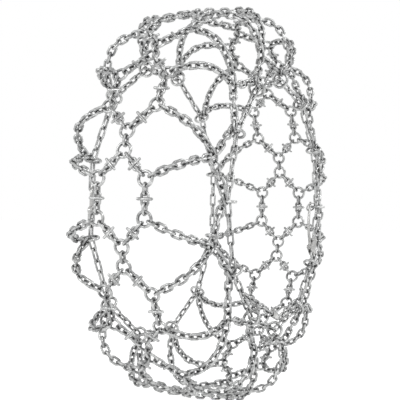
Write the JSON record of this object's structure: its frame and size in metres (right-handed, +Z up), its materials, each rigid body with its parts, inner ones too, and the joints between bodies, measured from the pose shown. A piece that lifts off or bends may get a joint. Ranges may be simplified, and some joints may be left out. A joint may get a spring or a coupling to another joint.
{
  "type": "tire snow chain",
  "caption": "Ring-net snow chain for a tractor tyre, held in its fitted shape, with studded tread links, side chains, a closing lever and a tension chain.",
  "frame": {"origin": "centre of the wheel the chain is fitted on", "axes": "+Y is the wheel's axle, pointing to the inner side; +Z is up; the outer side, with the closing lever, faces -Y"},
  "size_m": [1.0626, 0.4098, 1.0626],
  "materials": {
    "zinc_plated_steel": "satin zinc plate",
    "bright_zinc": "bright zinc plate"
  },
  "bodies": {
    "net": {"tread_cross_00": "zinc_plated_steel", "outer_shoulder_00": "zinc_plated_steel", "inner_shoulder_00": "zinc_plated_steel", "side_ring_legs_00": "zinc_plated_steel", "tread_cross_01": "zinc_plated_steel", "outer_shoulder_01": "zinc_plated_steel", "inner_shoulder_01": "zinc_plated_steel", "side_ring_legs_01": "zinc_plated_steel", "tread_cross_02": "zinc_plated_steel", "outer_shoulder_02": "zinc_plated_steel", "inner_shoulder_02": "zinc_plated_steel", "side_ring_legs_02": "zinc_plated_steel", "tread_cross_03": "zinc_plated_steel", "outer_shoulder_03": "zinc_plated_steel", "inner_shoulder_03": "zinc_plated_steel", "side_ring_legs_03": "zinc_plated_steel", "tread_cross_04": "zinc_plated_steel", "outer_shoulder_04": "zinc_plated_steel", "inner_shoulder_04": "zinc_plated_steel", "side_ring_legs_04": "zinc_plated_steel", "tread_cross_05": "zinc_plated_steel", "outer_shoulder_05": "zinc_plated_steel", "inner_shoulder_05": "zinc_plated_steel", "side_ring_legs_05": "zinc_plated_steel", "tread_cross_06": "zinc_plated_steel", "outer_shoulder_06": "zinc_plated_steel", "inner_shoulder_06": "zinc_plated_steel", "side_ring_legs_06": "zinc_plated_steel", "tread_cross_07": "zinc_plated_steel", "outer_shoulder_07": "zinc_plated_steel", "inner_shoulder_07": "zinc_plated_steel", "side_ring_legs_07": "zinc_plated_steel", "tread_cross_08": "zinc_plated_steel", "outer_shoulder_08": "zinc_plated_steel", "inner_shoulder_08": "zinc_plated_steel", "side_ring_legs_08": "zinc_plated_steel", "tread_cross_09": "zinc_plated_steel", "outer_shoulder_09": "zinc_plated_steel", "inner_shoulder_09": "zinc_plated_steel", "side_ring_legs_09": "zinc_plated_steel", "tread_cross_10": "zinc_plated_steel", "outer_shoulder_10": "zinc_plated_steel", "inner_shoulder_10": "zinc_plated_steel", "side_ring_legs_10": "zinc_plated_steel", "tread_cross_11": "zinc_plated_steel", "outer_shoulder_11": "zinc_plated_steel", "inner_shoulder_11": "zinc_plated_steel", "side_ring_legs_11": "zinc_plated_steel", "outer_side_chain_a": "zinc_plated_steel", "outer_side_chain_b": "zinc_plated_steel", "outer_side_chain_c": "zinc_plated_steel", "inner_side_chain_a": "zinc_plated_steel", "inner_side_chain_b": "zinc_plated_steel", "tension_chain": "zinc_plated_steel", "lever_yoke": "bright_zinc"},
    "lever": {"closing_lever": "bright_zinc"},
    "keeper": {"lever_keeper": "bright_zinc"},
    "sleeve": {"tension_sleeve": "bright_zinc"},
    "hook": {"inner_hook": "bright_zinc"}
  },
  "joints": [
    {"name": "lever_open", "type": "hinge", "parent": "net", "child": "lever", "pos_m": [0.29531, -0.18379, -0.12004], "axis": [-0.3696, -0.9239, 0.099], "range_deg": [0, 125]},
    {"name": "keeper_swing", "type": "hinge", "parent": "net", "child": "keeper", "pos_m": [0.31939, -0.18002, 0], "axis": [0.3941, 0.9191, 0], "range_deg": [0, 70]},
    {"name": "sleeve_slide", "type": "slide", "parent": "net", "child": "sleeve", "axis": [0.958, 0, -0.2869], "range_m": [-0.006, 0.006]},
    {"name": "inner_hook_swing", "type": "hinge", "parent": "net", "child": "hook", "pos_m": [-0.36874, 0.172, -0.029], "axis": [0, 1, 0], "range_deg": [0, 75]}
  ]
}
